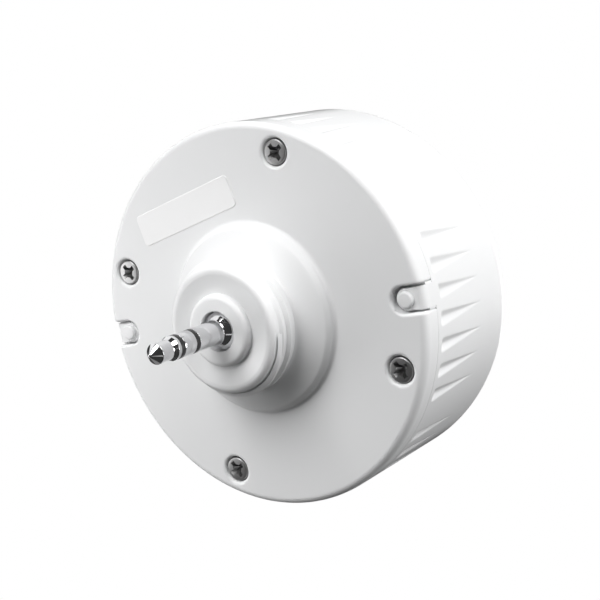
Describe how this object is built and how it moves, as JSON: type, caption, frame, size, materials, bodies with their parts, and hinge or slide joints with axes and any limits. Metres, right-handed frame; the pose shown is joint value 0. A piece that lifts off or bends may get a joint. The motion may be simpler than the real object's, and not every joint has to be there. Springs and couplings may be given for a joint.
{
  "type": "occupancy sensor",
  "caption": "Round plug-in occupancy sensor: grooved housing with a dome lens in front, and a threaded collar round a three-contact audio plug at the back.",
  "frame": {"origin": "centre of the threaded collar, at its root on the boss", "axes": "+Z along the plug, towards its tip, which is up when the sensor hangs in use; +X through one of the two locating lugs"},
  "size_m": [0.0584, 0.0584, 0.0597],
  "materials": {
    "white_plastic": "fine satin, moulded",
    "lens_plastic": "milky, slightly see-through",
    "screw_steel": "nickel plated",
    "plated_contact": "polished plating",
    "black_insulator": "smooth",
    "tinned_metal": "tinned",
    "lead_cover": "smooth",
    "connector_plastic": "moulded",
    "board_laminate": "solder mask",
    "detector_window": "coated silicon",
    "clear_resin": "cast",
    "red_resin": "cast",
    "black_resin": "moulded",
    "capacitor_can": "drawn",
    "black_plastic": "moulded",
    "clear_film": "clear, satin"
  },
  "bodies": {
    "root": {"rear_cover": "white_plastic", "front_housing": "white_plastic", "cover_screws": "screw_steel", "plug_bushing": "white_plastic", "plug_sleeve": "plated_contact", "sleeve_insulator": "black_insulator", "plug_ring": "plated_contact", "ring_insulator": "black_insulator", "plug_tip": "plated_contact", "plug_washer": "screw_steel", "plug_nut": "screw_steel", "plug_terminals": "tinned_metal", "plug_leads": "lead_cover", "lead_connector": "connector_plastic", "board_socket": "connector_plastic", "main_board": "board_laminate", "board_screws": "screw_steel", "pir_can": "tinned_metal", "pir_window": "detector_window", "pir_pins": "tinned_metal", "light_sensor": "clear_resin", "status_led": "red_resin", "ir_receiver": "black_resin", "microcontroller": "black_resin", "signal_amplifier": "black_resin", "voltage_regulator": "black_resin", "reservoir_capacitors": "capacitor_can", "lens_retainer": "black_plastic", "fresnel_lens": "lens_plastic", "face_sticker": "clear_film"}
  },
  "joints": []
}
